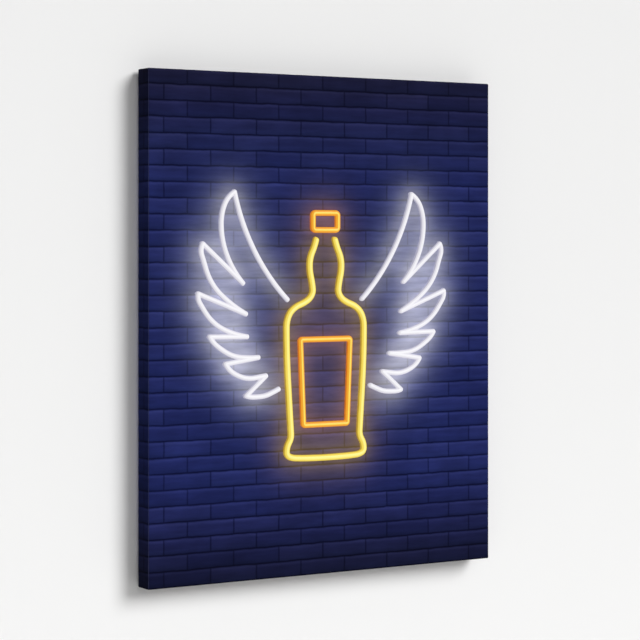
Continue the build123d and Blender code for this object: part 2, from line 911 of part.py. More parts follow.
def dimmer_knob():
    """Knob with a skirt round the nut, a fluted rim, a pointer groove and its own shaft."""
    start = lid_back + 0.5
    end = start + knob_height
    knob = rod(knob_radius, (dimmer_x, start, control_z), (dimmer_x, end, control_z))
    rim = knob.edges().filter_by(GeomType.CIRCLE).sort_by(Axis.Y)[-1]
    knob = fillet(rim, 0.8)
    flutes = []
    for number in range(18):
        angle = math.radians(number * 20 + 10)
        x = dimmer_x + (knob_radius + 0.35) * math.cos(angle)
        z = control_z + (knob_radius + 0.35) * math.sin(angle)
        flutes.append(rod(0.7, (x, start - 1, z), (x, end + 1, z)))
    knob -= flutes
    knob -= rod(knob_radius - 1.2, (dimmer_x, start - 1, control_z), (dimmer_x, start + 3.2, control_z))
    knob -= block(dimmer_x - 0.4, dimmer_x + 0.4, end - 0.6, end + 1, control_z + 1.5, control_z + 8)
    return knob + rod(
        shaft_radius, (dimmer_x, box_rim - 3.8, control_z), (dimmer_x, end - 2, control_z)
    )


# ---- build every sub-part ----

os.makedirs("parts", exist_ok=True)

save("canvas_wrap", canvas_wrap())
save("backer_board", backer_board())
for bar_name, bar in frame_bars().items():
    save(bar_name, bar)
save("cross_brace", cross_brace())
save("corner_keys", together(corner_keys()))
save("canvas_staples", together(canvas_staples()))

right_wing = [route(stroke) for stroke in wing_strokes]
left_wing = [route(mirrored(stroke)) for stroke in reversed(wing_strokes)]
bottle = [route(bottle_half + mirrored(bottle_half)[1:])]
for name, paths, radius in (
    ("right_wing", right_wing, white_radius),
    ("left_wing", left_wing, white_radius),
    ("bottle", bottle, yellow_radius),
):
    tubes, strips = tube_and_strip(paths, radius, False)
    save(name + "_tube", together(tubes))
    save(name + "_led_strip", together(strips))
for name, corners in (("cap", cap_corners), ("label", label_corners)):
    sides = []
    for start, end in zip(corners, corners[1:] + corners[:1]):
        sides.append(route([(*start, None), (*end, None)]))
    tubes, strips = tube_and_strip(sides, orange_radius, True)
    save(name + "_tube", together(tubes))
    save(name + "_led_strip", together(strips))

wing_ends = []
for wing in (right_wing, left_wing):
    wing_ends.append(round_end(white_radius, wing[0] @ 0, -(wing[0] % 0)))
    wing_ends.append(round_end(white_radius, wing[-1] @ 1, wing[-1] % 1))
save("wing_end_caps", together(wing_ends))
bottle_ends = [
    round_end(yellow_radius, bottle[0] @ 0, -(bottle[0] % 0)),
    round_end(yellow_radius, bottle[0] @ 1, bottle[0] % 1),
]
save("bottle_end_caps", together(bottle_ends))

save("feed_grommets", together(feed_grommets()))
for lead_name, lead_points in lead_routes().items():
    save(lead_name, lead(lead_points))
save("lead_clips", together(lead_clips()))

save("control_base", control_base())
save("control_lid", control_lid())
save("lid_screws", together(lid_screws()))
save("circuit_board", circuit_board())
save("circuit_screws", together(circuit_screws()))
save("circuit_parts", together(circuit_parts()))
save("terminal_block", terminal_block())
save("lead_gland", lead_gland())
save("box_tape", together(box_tape()))
save("dc_inlet", dc_inlet())
save("inlet_pin", inlet_pin())
save("inlet_nut", inlet_nut())
save("switch_body", switch_body())
save("switch_rocker", switch_rocker())
save("dimmer_body", dimmer_body())
save("dimmer_nut", dimmer_nut())
save("dimmer_knob", dimmer_knob())

left_x, right_x = hanger_places()
save("left_hanger_strap", hanger_strap(left_x))
save("right_hanger_strap", hanger_strap(right_x))
save("left_ring", hanger_ring(left_x))
save("right_ring", hanger_ring(right_x))
save("hanger_screws", together(hanger_screws()))
save("wall_bumpers", together(wall_bumpers()))
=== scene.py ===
# Canvas-wrapped light sign: the looks of its cloth, light tubes, frame and control box.
import math

import bpy
import numpy as np
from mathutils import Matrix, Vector


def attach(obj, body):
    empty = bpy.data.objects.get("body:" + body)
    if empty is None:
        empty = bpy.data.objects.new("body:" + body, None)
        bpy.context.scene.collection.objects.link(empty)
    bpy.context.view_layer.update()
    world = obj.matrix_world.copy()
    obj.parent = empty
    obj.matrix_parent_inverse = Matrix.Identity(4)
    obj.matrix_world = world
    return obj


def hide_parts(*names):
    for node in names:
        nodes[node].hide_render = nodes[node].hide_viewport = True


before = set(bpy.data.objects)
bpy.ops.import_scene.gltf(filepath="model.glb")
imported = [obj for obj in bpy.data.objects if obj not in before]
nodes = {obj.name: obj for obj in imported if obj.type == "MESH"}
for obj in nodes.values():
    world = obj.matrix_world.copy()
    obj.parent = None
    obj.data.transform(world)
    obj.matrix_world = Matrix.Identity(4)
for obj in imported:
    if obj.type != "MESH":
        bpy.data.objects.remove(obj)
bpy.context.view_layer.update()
print("frame loaded,", len(nodes), "nodes")

# Camera: stands left of the sign, level, a long lens
view = {
    "place": (-1.704, -2.823, -0.149),
    "ahead": (0.5195, 0.8545, 0.0),
    "lens": 119.8,
    "shiftY": -0.119,
}
cameraData = bpy.data.cameras.new("camera")
cameraData.lens = view["lens"]
cameraData.sensor_width = 36
cameraData.shift_y = view["shiftY"]
cameraData.clip_start = 0.05
cameraData.clip_end = 60
camera = bpy.data.objects.new("camera", cameraData)
camera.location = view["place"]
camera.rotation_euler = Vector(view["ahead"]).to_track_quat("-Z", "Y").to_euler()
bpy.context.scene.collection.objects.link(camera)
bpy.context.scene.camera = camera
bpy.context.scene.view_settings.view_transform = "Standard"


def toLinear(value):
    return value / 12.92 if value <= 0.04045 else ((value + 0.055) / 1.055) ** 2.4


def colour(hexCode):
    parts = [int(hexCode[k : k + 2], 16) / 255 for k in (1, 3, 5)]
    return tuple(toLinear(part) for part in parts) + (1.0,)


bandsAtOne = 0.314  # metres between the bands of a wave texture whose scale is 1


# noise scales count features per metre, so 900 draws them about 1.1 mm across
def addNode(tree, kind, links=None, stops=None, **settings):
    made = tree.nodes.new(kind)
    for name, value in settings.items():
        setattr(made, name, value)
    if stops:
        ramp = made.color_ramp
        while len(ramp.elements) < len(stops):
            ramp.elements.new(0.5)
        for element, (place, tint) in zip(ramp.elements, stops):
            element.position = place
            element.color = colour(tint) if isinstance(tint, str) else (*tint, 1.0)
    for key, value in (links or {}).items():
        if isinstance(value, bpy.types.NodeSocket):
            tree.links.new(value, made.inputs[key])
        else:
            made.inputs[key].default_value = value
    return made


def mathNode(tree, operation, *values):
    return addNode(tree, "ShaderNodeMath", dict(enumerate(values)), operation=operation)


def vectorNode(tree, operation, *values):
    return addNode(tree, "ShaderNodeVectorMath", dict(enumerate(values)), operation=operation)


def remap(tree, value, start, end):
    links = {"Value": value, "From Min": start[0], "From Max": start[1]}
    return addNode(tree, "ShaderNodeMapRange", {**links, "To Min": end[0], "To Max": end[1]})


# mixes two colours, which are sockets 6 and 7
def blend(tree, kind, factor, below, above):
    links = {"Factor": factor, 6: below, 7: above}
    return addNode(tree, "ShaderNodeMix", links, data_type="RGBA", blend_type=kind)


# parallel bands that follow one another along an axis or the diagonal, a period in metres apart
def bands(tree, where, period, direction, **links):
    wave = {"Vector": where, "Scale": bandsAtOne / period, **links}
    return addNode(tree, "ShaderNodeTexWave", wave, bands_direction=direction)


def newMaterial(name):
    made = bpy.data.materials.new(name)
    made.use_nodes = True
    made.node_tree.nodes.clear()
    return made, made.node_tree


def finishMaterial(tree, links, bump=None):
    shader = addNode(tree, "ShaderNodeBsdfPrincipled", links)
    if bump is not None:
        tree.links.new(bump.outputs["Normal"], shader.inputs["Normal"])
    addNode(tree, "ShaderNodeOutputMaterial", {"Surface": shader.outputs[0]})


def place(mesh, name, material):
    made = bpy.data.objects.new(name, mesh)
    bpy.context.scene.collection.objects.link(made)
    mesh.materials.clear()
    mesh.materials.append(material)
    return made


def dress(material, *names):
    for name in names:
        mesh = nodes[name].data
        mesh.materials.clear()
        mesh.materials.append(material)


# The picture: strokes of light tube, as (mm right of its middle, mm above the lower edge, heading)
picture = {"shift": -0.005, "face": -0.040, "hooks": 0.654}  # metres
bottleHalf = [
    (17, 511, -75),
    (28.3, 474, -88),
    (23, 437, -97),
    (33, 418.6, -32),
    (57, 406.3, -38),
    (69.2, 378, -90),
    (61.4, 218, -94),
    (69, 190, -90),
    (54, 180.2, -176),
    (0, 178.6, 180),
]
wingStrokes = [
    [(67, 420.5, 44), (158.5, 582.5, 77)],
    [(158.5, 582.5, -30), (181, 537, -89), (144, 446, -133)],
    [(144, 446, None), (212, 505, None)],
    [(212, 505, -60), (207.5, 470, -107), (139, 400, -152)],
    [(139, 400, None), (219.5, 431, None)],
    [(219.5, 431, -78), (208.5, 404.5, -124), (137, 366, -172)],
    [(137, 366, None), (200, 367, None)],
    [(200, 367, -118), (174, 344, -150), (117.5, 334.5, 178)],
    [(117.5, 334.5, None), (173.5, 326, None)],
    [(173.5, 326, -118), (144, 305.2, -165), (104.5, 306.5, 172)],
    [(104.5, 306.5, None), (138.5, 277.5, None)],
    [(138.5, 277.5, -160), (114, 275.6, 177), (82.5, 285.7, 156)],
]
ringCorners = {"cap": 4.0, "label": 2.6}  # mm, radius of the bends
capCorners = [(22, 526.2), (22, 552.2), (-22, 552.2), (-22, 526.2)]
labelCorners = [(39, 229.4), (44.4, 359.4), (-44.4, 359.4), (-39, 229.4)]


spacing = {"straight": 3.0, "curve": 1.5, "corner": 0.8}  # mm between the points of a line


def heading(degrees):
    return np.array([math.cos(math.radians(degrees)), math.sin(math.radians(degrees))])


# points along one arc that leaves start in a known direction
def arcPoints(start, end, leave, step):
    chord = end - start
    length = float(np.hypot(*chord))
    turn = math.atan2(chord[1], chord[0]) - math.atan2(leave[1], leave[0])
    turn = (turn + math.pi) % (2 * math.pi) - math.pi
    count = max(2, int(math.ceil(length / step)))
    steps = np.linspace(0, 1, count + 1)[:, None]
    if abs(turn) < 1e-5:
        return start + chord * steps
    radius = length / (2 * math.sin(turn))
    side = np.array([-leave[1], leave[0]])
    swing = 2 * turn * steps
    return start + leave * radius * np.sin(swing) + side * radius * (1 - np.cos(swing))


# one stroke: two arcs that meet smoothly between each pair of points
def strokeLine(points):
    line = []
    for start, end in zip(points, points[1:]):
        first = np.array(start[:2], float)
        last = np.array(end[:2], float)
        if start[2] is None:
            piece = arcPoints(first, last, last - first, spacing["straight"])
        else:
            leave = heading(start[2])
            arrive = heading(end[2])
            span = last - first
            along = span @ (leave + arrive)
            bend = 2 * (1 - leave @ arrive)
            if bend < 1e-9:
                reach = span @ span / (2 * along)
            else:
                reach = (-along + math.sqrt(along**2 + bend * (span @ span))) / bend
            cornerA = first + leave * reach
            cornerB = last - arrive * reach
            middle = (cornerA + cornerB) / 2
            onward = (cornerB - cornerA) / np.hypot(*(cornerB - cornerA))
            near = arcPoints(first, middle, leave, spacing["curve"])
            far = arcPoints(middle, last, onward, spacing["curve"])
            piece = np.vstack([near, far[1:]])
        line.append(piece if not line else piece[1:])
    return np.vstack(line)


def mirrored(points):
    back = reversed(points)
    return [(-x, height, None if turn is None else -turn) for x, height, turn in back]


# points strictly between two others
def between(start, end):
    way = end - start
    steps = max(2, int(np.hypot(*way) / spacing["straight"]))
    return [start + way * k / steps for k in range(1, steps)]


# a closed outline of straight sides with small round corners, begun in the middle of its last side
def ringLine(corners, radius):
    spots = [np.array(corner, float) for corner in corners]
    count = len(spots)
    first = (spots[-1] + spots[0]) / 2
    line = [first]
    for k, corner in enumerate(spots):
        before = spots[k - 1] - corner
        after = spots[(k + 1) % count] - corner
        into = -before / np.hypot(*before)
        out = after / np.hypot(*after)
        turn = math.acos(float(into @ out))
        back = radius * math.tan(turn / 2)
        start = corner - into * back
        line += between(line[-1], start)
        line += list(arcPoints(start, corner + out * back, into, spacing["corner"]))
    line += between(line[-1], first)
    return np.array(line)


rightWing = [strokeLine(stroke) for stroke in wingStrokes]
leftWing = [strokeLine(mirrored(stroke)) for stroke in reversed(wingStrokes)]
bottle = [strokeLine(bottleHalf + mirrored(bottleHalf)[1:])]
cap = [ringLine(capCorners, ringCorners["cap"])]
label = [ringLine(labelCorners, ringCorners["label"])]
print("strokes laid out,", len(rightWing) * 2 + 3, "in all")

tube = {
    "whiteRadius": 0.004,
    "yellowRadius": 0.005,
    "orangeRadius": 0.0045,
    "flat": 0.0008,  # planed off the back
    "channelWidth": 0.0042,
    "channelDepth": 0.0016,
    "arcSteps": 22,
    "endSteps": 6,
    "capWire": (0.02, 0.05),  # mm past a tip, the wire on which a moulded cap is swept
}


# translucent silicone neon, extruded, with diodes behind it: it gives the eye a bright milky core
# that falls away to a deeper tint at the flanks, under a soft satin skin
def litSilicone(name, core, body, edge, milk, strength, coreWidth):
    made, tree = newMaterial(name)
    across = addNode(tree, "ShaderNodeAttribute", attribute_name="across")
    grain = addNode(tree, "ShaderNodeTexCoord")
    cloud = addNode(
        tree,
        "ShaderNodeTexNoise",
        {"Vector": grain.outputs["Object"], "Scale": 55.0, "Detail": 3.0, "Roughness": 0.6},
    )
    waver = mathNode(tree, "MULTIPLY_ADD", cloud.outputs["Fac"], 0.16, -0.08)
    shifted = mathNode(tree, "ADD", across.outputs["Fac"], waver.outputs[0])
    glow = addNode(
        tree,
        "ShaderNodeValToRGB",
        {"Fac": shifted.outputs[0]},
        stops=[(0.0, core), (coreWidth, core), (coreWidth + 0.3, body), (0.8, body), (1.0, edge)],
    )
    fine = addNode(
        tree,
        "ShaderNodeTexNoise",
        {"Vector": grain.outputs["Object"], "Scale": 900.0, "Detail": 2.0},
    )
    skin = addNode(
        tree,
        "ShaderNodeHueSaturation",
        {"Value": milk, "Saturation": 1.0, "Color": glow.outputs["Color"]},
    )
    bump = addNode(
        tree,
        "ShaderNodeBump",
        {"Height": fine.outputs["Fac"], "Strength": 0.12, "Distance": 0.0002},
    )
    finishMaterial(
        tree,
        {
            "Base Color": skin.outputs["Color"],
            "Roughness": 0.42,
            "IOR": 1.41,
            "Specular IOR Level": 0.4,
            "Emission Color": glow.outputs["Color"],
            "Emission Strength": strength,
        },
        bump,
    )
    return made


# cool white, nearly even from side to side
whiteSilicone = litSilicone("whiteLitSilicone", "#fbfaff", "#ebe9f2", "#b3b1c6", 0.17, 0.77, 0.26)
# lemon core in a deeper yellow
yellowSilicone = litSilicone("yellowLitSilicone", "#fff48c", "#f7dc5a", "#b38e28", 0.16, 0.85, 0.24)
# a thin yellow core in orange, deeper at the flanks
orangeSilicone = litSilicone("orangeLitSilicone", "#ffe464", "#f7a92e", "#d5721e", 0.15, 0.84, 0.12)


# section of the extrusion, x across and y out of the panel, as a closed outline
def sectionOutline(radius):
    flat = radius - tube["flat"]
    low = -math.asin(flat / radius)
    turns = np.linspace(low, math.pi - low, tube["arcSteps"] * 2 + 1)
    outline = [(radius * math.cos(a), flat + radius * math.sin(a)) for a in turns]
    half = tube["channelWidth"] / 2
    deep = tube["channelDepth"]
    return outline + [(-half, 0), (-half, deep), (half, deep), (half, 0)]


# a wire of points, with how full the section is at each; an end that isn't cut square gets a bead
def strokeMesh(name, lines, radius, cutStart=(), cutEnd=(), closed=False):
    points, edges, swell = [], [], []
    for number, line in enumerate(lines):
        line = np.array(line) / 1000
        full = np.ones(len(line))
        first = len(points)
        if closed:
            count = len(line)
            edges += [(first + k, first + (k + 1) % count) for k in range(count)]
            points += [(x, height, 0) for x, height in line]
            swell += list(full)
            continue
        ends = []
        for tip, inner in ((line[0], line[1]), (line[-1], line[-2])):
            outward = (tip - inner) / np.hypot(*(tip - inner))
            turns = np.linspace(0, math.pi / 2, tube["endSteps"] + 1)[1:]
            bead = [tip + outward * radius * math.sin(a) for a in turns]
            ends.append((np.array(bead), [max(0.0, math.cos(a)) for a in turns]))
        if number not in cutStart:
            line = np.vstack([ends[0][0][::-1], line])
            full = np.concatenate([ends[0][1][::-1], full])
        if number not in cutEnd:
            line = np.vstack([line, ends[1][0]])
            full = np.concatenate([full, ends[1][1]])
        points += [(x, height, 0) for x, height in line]
        edges += [(first + k, first + k + 1) for k in range(len(line) - 1)]
        swell += list(full)
    mesh = bpy.data.meshes.new(name + "Wire")
    mesh.from_pydata(points, edges, [])
    mesh.attributes.new("swell", "FLOAT", "POINT").data.foreach_set("value", swell)
    return mesh


def wireObject(mesh):
    made = bpy.data.objects.new(mesh.name, mesh)
    bpy.context.scene.collection.objects.link(made)
    return made


# Geometry Nodes: sweeps a section along every stroke and notes how far each point is from its line
def tubeTree():
    tree = bpy.data.node_groups.new("lightTube", "GeometryNodeTree")
    face = tree.interface
    face.new_socket("Geometry", in_out="INPUT", socket_type="NodeSocketGeometry")
    face.new_socket("Section", in_out="INPUT", socket_type="NodeSocketObject")
    face.new_socket("Radius", in_out="INPUT", socket_type="NodeSocketFloat")
    face.new_socket("Placed", in_out="INPUT", socket_type="NodeSocketVector")
    face.new_socket("Material", in_out="INPUT", socket_type="NodeSocketMaterial")
    face.new_socket("Geometry", in_out="OUTPUT", socket_type="NodeSocketGeometry")
    given = addNode(tree, "NodeGroupInput").outputs
    swell = addNode(tree, "GeometryNodeInputNamedAttribute", {"Name": "swell"}, data_type="FLOAT")
    swellValue = swell.outputs["Attribute"]
    curve = addNode(tree, "GeometryNodeMeshToCurve", {"Mesh": given["Geometry"]})
    upright = addNode(
        tree, "GeometryNodeSetCurveNormal", {"Curve": curve.outputs[0]}, mode="Z_UP"
    )
    section = addNode(tree, "GeometryNodeObjectInfo", {"Object": given["Section"]})
    outline = addNode(
        tree, "GeometryNodeMeshToCurve", {"Mesh": section.outputs["Geometry"]}
    )
    swept = addNode(
        tree,
        "GeometryNodeCurveToMesh",
        {
            "Curve": upright.outputs[0],
            "Profile Curve": outline.outputs[0],
            "Scale": swellValue,
            "Fill Caps": True,
        },
    )
    closed = addNode(
        tree, "GeometryNodeMergeByDistance", {"Geometry": swept.outputs[0], "Distance": 0.00001}
    )
    # the line itself, without the beads past its ends
    core = addNode(
        tree, "FunctionNodeCompare", {0: swellValue, 1: 0.999}, operation="GREATER_THAN"
    )
    line = addNode(
        tree,
        "GeometryNodeSeparateGeometry",
        {"Geometry": given["Geometry"], "Selection": core.outputs[0]},
        domain="POINT",
    )
    at = addNode(tree, "GeometryNodeInputPosition")
    level = vectorNode(tree, "MULTIPLY", at.outputs[0], (1, 1, 0))
    away = addNode(
        tree,
        "GeometryNodeProximity",
        {0: line.outputs["Selection"], "Sample Position": level.outputs[0]},
        target_element="EDGES",
    )
    share = mathNode(tree, "DIVIDE", away.outputs["Distance"], given["Radius"])
    noted = addNode(
        tree,
        "GeometryNodeStoreNamedAttribute",
        {"Geometry": closed.outputs[0], "Name": "across", "Value": share.outputs[0]},
        data_type="FLOAT",
        domain="POINT",
    )
    outward = addNode(tree, "GeometryNodeFlipFaces", {"Mesh": noted.outputs[0]})
    smooth = addNode(
        tree, "GeometryNodeSetShadeSmooth", {"Geometry": outward.outputs[0], "Shade Smooth": True}
    )
    stood = addNode(
        tree,
        "GeometryNodeTransform",
        {
            "Geometry": smooth.outputs[0],
            "Translation": given["Placed"],
            "Rotation": (math.pi / 2, 0, 0),
        },
    )
    real = addNode(tree, "GeometryNodeRealizeInstances", {"Geometry": stood.outputs[0]})
    painted = addNode(
        tree,
        "GeometryNodeSetMaterial",
        {"Geometry": real.outputs[0], "Material": given["Material"]},
    )
    addNode(tree, "NodeGroupOutput", {"Geometry": painted.outputs[0]})
    return tree


# sets a modifier's inputs by identifier, then keeps only the mesh that it makes
def grown(wire, tree, values, name):
    modifier = wire.modifiers.new("grown", "NODES")
    modifier.node_group = tree
    for item in tree.interface.items_tree:
        if item.in_out == "INPUT" and item.name in values:
            modifier[item.identifier] = values[item.name]
    graph = bpy.context.evaluated_depsgraph_get()
    mesh = bpy.data.meshes.new_from_object(wire.evaluated_get(graph), depsgraph=graph)
    mesh.name = name
    made = bpy.data.objects.new(name, mesh)
    bpy.context.scene.collection.objects.link(made)
    bpy.data.objects.remove(wire)
    return made


sweepTree = tubeTree()
sections = {}
for size in ("whiteRadius", "yellowRadius", "orangeRadius"):
    outline = sectionOutline(tube[size])
    count = len(outline)
    mesh = bpy.data.meshes.new(size)
    spots = [(x, -y, 0) for x, y in outline]
    mesh.from_pydata(spots, [(k, (k + 1) % count) for k in range(count)], [])
    sections[size] = wireObject(mesh)


def lightTube(name, lines, size, material, replaced, cutStart=(), cutEnd=(), closed=False):
    radius = tube[size]
    wire = wireObject(strokeMesh(name, lines, radius, cutStart, cutEnd, closed))
    placed = (picture["shift"], picture["face"], -picture["hooks"])
    values = {"Section": sections[size], "Radius": radius, "Placed": placed, "Material": material}
    made = grown(wire, sweepTree, values, name)
    made.visible_shadow = False  # lit through, so it throws no shadow of its own
    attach(made, "sign_panel")
    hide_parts(replaced)
    print(name, "swept,", len(made.data.polygons), "faces")


# a short wire past a free end, on which the same sweep makes its moulded cap
def capLine(line, atStart):
    tip, inner = (line[0], line[1]) if atStart else (line[-1], line[-2])
    outward = (tip - inner) / np.hypot(*(tip - inner))
    return np.array([tip + outward * length for length in tube["capWire"]])


for side, wing in (("right", rightWing), ("left", leftWing)):
    lightTube(
        side + "WingTube",
        wing,
        "whiteRadius",
        whiteSilicone,
        side + "_wing_tube",
        (0,),
        (len(wing) - 1,),
    )
lightTube(
    "bottleTube", bottle, "yellowRadius", yellowSilicone, "bottle_tube", (0,), (0,)
)
lightTube("capTube", cap, "orangeRadius", orangeSilicone, "cap_tube", closed=True)
lightTube(
    "labelTube", label, "orangeRadius", orangeSilicone, "label_tube", closed=True
)
wingCaps = [capLine(wing[end], end == 0) for wing in (rightWing, leftWing) for end in (0, -1)]
bottleCaps = [capLine(bottle[0], True), capLine(bottle[0], False)]
lightTube(
    "wingEndCaps", wingCaps, "whiteRadius", whiteSilicone, "wing_end_caps", range(4)
)
lightTube(
    "bottleEndCaps",
    bottleCaps,
    "yellowRadius",
    yellowSilicone,
    "bottle_end_caps",
    range(2),
)
for made in sections.values():
    bpy.data.objects.remove(made)

# The printed cloth, wrapped over the front, sides and fold
cloth = {
    "width": 0.610,
    "height": 0.762,
    "depth": 0.034,
    "fold": 0.025,
    "thick": 0.0008,
    "edge": 0.0018,  # radius of the turned edges
    "bends": (22, 45, 68, 90),  # degrees at which the turned edges have a row of points
    "cornerSteps": 5,
    "sideSteps": 9,
    "foldSteps": 6,
    "cell": 0.004,
    "paintedGlowSamples": 1.5,  # mm between the points that light the print
}
# printed glow round each line, painted light that stands in for the light of the tubes on the
# cloth: spread in mm, then red, green and blue of the light
paintedGlowTints = {
    "white": [(14, (0.0915, 0.0850, 0.0430)), (28, (0.0645, 0.0695, 0.1110))],
    "yellow": [(14, (0.0595, 0.0400, 0.0)), (28, (0.0500, 0.0305, 0.0))],
    "orange": [(14, (0.038, 0.0145, 0.0)), (28, (0.0475, 0.0310, 0.0205))],
}


def evenly(line, step):
    gaps = np.hypot(*np.diff(line, axis=0).T)
    way = np.concatenate([[0], np.cumsum(gaps)])
    count = max(2, int(way[-1] / step))
    at = (np.arange(count) + 0.5) * way[-1] / count
    points = np.column_stack([np.interp(at, way, line[:, 0]), np.interp(at, way, line[:, 1])])
    return points, way[-1] / count


# painted light: the glow that each point of the print shows, as if every line were a row of small
# lamps
def paintedTubeGlow(points):
    groups = {"white": rightWing + leftWing, "yellow": bottle, "orange": cap + label}
    light = np.zeros((len(points), 3))
    for name, lines in groups.items():
        for line in lines:
            lamps, step = evenly(line, cloth["paintedGlowSamples"])
            away = ((points[:, None, :] - lamps[None, :, :]) ** 2).sum(axis=2)
            for spread, tint in paintedGlowTints[name]:
                reach = np.exp(-away / (2 * spread**2)).sum(axis=1)
                light += np.outer(reach * step / (spread * math.sqrt(2 * math.pi)), tint)
    return light


# cloth as one sheet: the face, then rows of points round the turned edge, down the side and
# onto the back
def clothMesh():
    halfX = cloth["width"] / 2 - cloth["edge"]
    halfZ = cloth["height"] / 2 - cloth["edge"]
    middle = cloth["height"] / 2
    nx = int(round(2 * halfX / cloth["cell"]))
    nz = int(round(2 * halfZ / cloth["cell"]))
    xs = np.linspace(-halfX, halfX, nx + 1)
    zs = np.linspace(-halfZ, halfZ, nz + 1)
    verts = [(x, 0.0, z) for z in zs for x in xs]  # y counts back from the face
    flat = [(x, z) for z in zs for x in xs]
    faces = []
    for j in range(nz):
        for i in range(nx):
            a = j * (nx + 1) + i
            faces.append((a, a + 1, a + nx + 2, a + nx + 1))
    # columns round the rim: which point of the face, and which ways it may go outwards
    columns = []
    fan = np.linspace(0, math.pi / 2, cloth["cornerSteps"])
    sides = [
        ([(i, 0) for i in range(nx + 1)], -math.pi / 2),
        ([(nx, j) for j in range(nz + 1)], 0.0),
        ([(i, nz) for i in range(nx, -1, -1)], math.pi / 2),
        ([(0, j) for j in range(nz, -1, -1)], math.pi),
    ]
    for cells, turn in sides:
        for i, j in cells:
            columns.append((j * (nx + 1) + i, turn, False))
        i, j = cells[-1]
        for step in fan[1:-1]:
            columns.append((j * (nx + 1) + i, turn + step, True))
    edge, deep = cloth["edge"], cloth["depth"]
    bends = np.radians(cloth["bends"])
    rows = [(edge * math.sin(a), edge - edge * math.cos(a), edge * a) for a in bends]
    straight = np.linspace(edge, deep - edge, cloth["sideSteps"])[1:]
    way = rows[-1][2]
    rows += [(edge, y, way + y - edge) for y in straight]
    way = rows[-1][2]
    rows += [
        (edge * math.cos(a), deep - edge + edge * math.sin(a), way + edge * a)
        for a in bends
    ]
    way = rows[-1][2]
    inwards = np.linspace(0, cloth["fold"] - edge, cloth["foldSteps"])[1:]
    rows += [(-inward, deep, way + inward) for inward in inwards]
    previous = [column[0] for column in columns]
    count = len(columns)
    for out, y, way in rows:
        current = []
        for start, turn, corner in columns:
            x, z = flat[start]
            dx, dz = math.cos(turn), math.sin(turn)
            if out >= 0:
                spot = (x + out * dx, y, z + out * dz)
            else:
                spot = (x * (halfX + out) / halfX, y, z * (halfZ + out) / halfZ)
            current.append(len(verts))
            verts.append(spot)
            flat.append((x + way * dx, z + way * dz))
        for k in range(count):
            n = (k + 1) % count
            faces.append((previous[k], current[k], current[n], previous[n]))
        previous = current
    mesh = bpy.data.meshes.new("printedCloth")
    placed = [(x, y + picture["face"], z + middle - picture["hooks"]) for x, y, z in verts]
    faces = [tuple(dict.fromkeys(corners)) for corners in faces]
    mesh.from_pydata(placed, [], [corners for corners in faces if len(corners) > 2])
    layer = mesh.uv_layers.new(name="clothMap")
    corners = np.empty(len(mesh.loops), dtype=np.int32)
    mesh.loops.foreach_get("vertex_index", corners)
    spread = np.array(flat) + [0, middle]
    layer.data.foreach_set("uv", spread[corners].astype(np.float32).ravel())
    # painted glow of the tubes, kept on the cloth's points as its glow colour
    glow = paintedTubeGlow(spread * 1000 - [picture["shift"] * 1000, 0])
    tinted = np.column_stack([glow, np.ones(len(glow))]).astype(np.float32)
    mesh.attributes.new("glow", "FLOAT_COLOR", "POINT").data.foreach_set("color", tinted.ravel())
    mesh.polygons.foreach_set("use_smooth", [True] * len(mesh.polygons))
    return mesh


# primed cotton canvas, ink-jet printed and unvarnished: it gives the eye deep matt blues with no
# highlight, a fine weave, and colour that wanders a little from brick to brick
printed = {
    "courseHeight": 0.02385,
    "courseStart": 0.00065,
    "brickWidth": 0.0779,
    "brickStart": 0.007,
    "mortar": 0.0022,
    "weave": 0.0016,  # thread spacing, drawn at twice the real one so that it shows
    "wander": (0.0018, 0.0032, 0),  # how far the courses stray from straight
    "streaks": (14, 95, 1),  # per metre along and up: long and low
    # the pale line on the front edges is rubbed ink with a painted highlight
    "rubHighlightInside": 0.0004,  # middle of the rubbed line, in from the front edge
    "rubHighlightReach": 0.0007,
    # painted shade on the wrapped sides: where it begins past the front edge, then how dark the
    # left and right sides and the upper and lower sides are
    "darkens": (0.0002, 0.0025),  # past the front edge, where the wrapped part turns darker
    "sidePaintedShade": 0.92,
    "endPaintedShade": 0.72,  # of the upper and lower sides
    # a dark line of painted shade along each back corner crease
    "creaseShadeStart": 0.0015,  # in front of the back
    "creaseShadeReach": 0.0006,
    "inkFades": 0.0006,
    "bareX": 0.3555,  # from the middle of the unfolded cloth to where the ink ends
    "bareY": 0.4315,
}


